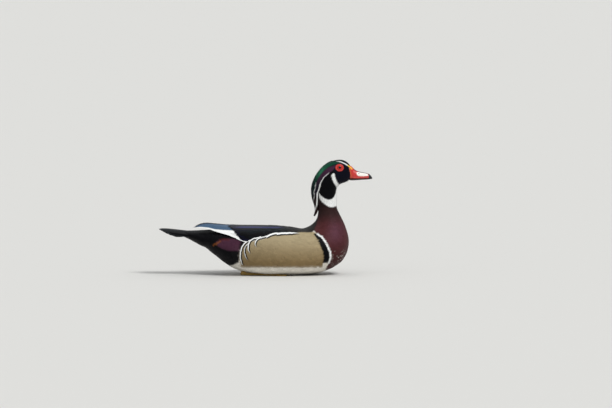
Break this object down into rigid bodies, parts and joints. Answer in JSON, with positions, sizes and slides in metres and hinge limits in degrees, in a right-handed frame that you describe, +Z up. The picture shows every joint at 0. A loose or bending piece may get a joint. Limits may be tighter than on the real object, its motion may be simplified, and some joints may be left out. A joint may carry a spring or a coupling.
{
  "type": "wood duck",
  "caption": "Life-size still model of a drake wood duck in breeding plumage, resting on its belly with head up, wings folded and feet tucked under.",
  "frame": {"origin": "middle of the model's footprint box, on the floor under the belly", "axes": "+Z up, the bird faces -Y, its right side is at -X, and +Y runs to the tail"},
  "size_m": [0.146, 0.3753, 0.2022],
  "materials": {
    "chestnut": "soft plumage, chestnut",
    "dark_gloss": "glossy plumage, blue black",
    "green_gloss": "glossy plumage, green",
    "buff": "soft plumage, buff",
    "bill_red": "horn, red",
    "bill_black": "horn, black",
    "eye_red": "wet and clear, red iris",
    "foot_ochre": "scaly skin, dull yellow",
    "claw_black": "horn, black"
  },
  "bodies": {
    "root": {"head": "green_gloss", "neck": "chestnut", "trunk": "buff", "tail": "dark_gloss", "crest": "green_gloss", "bill_upper": "bill_red", "bill_lower": "bill_black", "eye_left": "eye_red", "eye_right": "eye_red", "wing_left": "dark_gloss", "wing_right": "dark_gloss", "primaries_left": "dark_gloss", "primaries_right": "dark_gloss", "leg_left": "foot_ochre", "leg_right": "foot_ochre", "foot_left": "foot_ochre", "foot_right": "foot_ochre", "hind_toe_left": "foot_ochre", "hind_toe_right": "foot_ochre", "claw_inner_left": "claw_black", "claw_inner_right": "claw_black", "claw_middle_left": "claw_black", "claw_middle_right": "claw_black", "claw_outer_left": "claw_black", "claw_outer_right": "claw_black"}
  },
  "joints": []
}
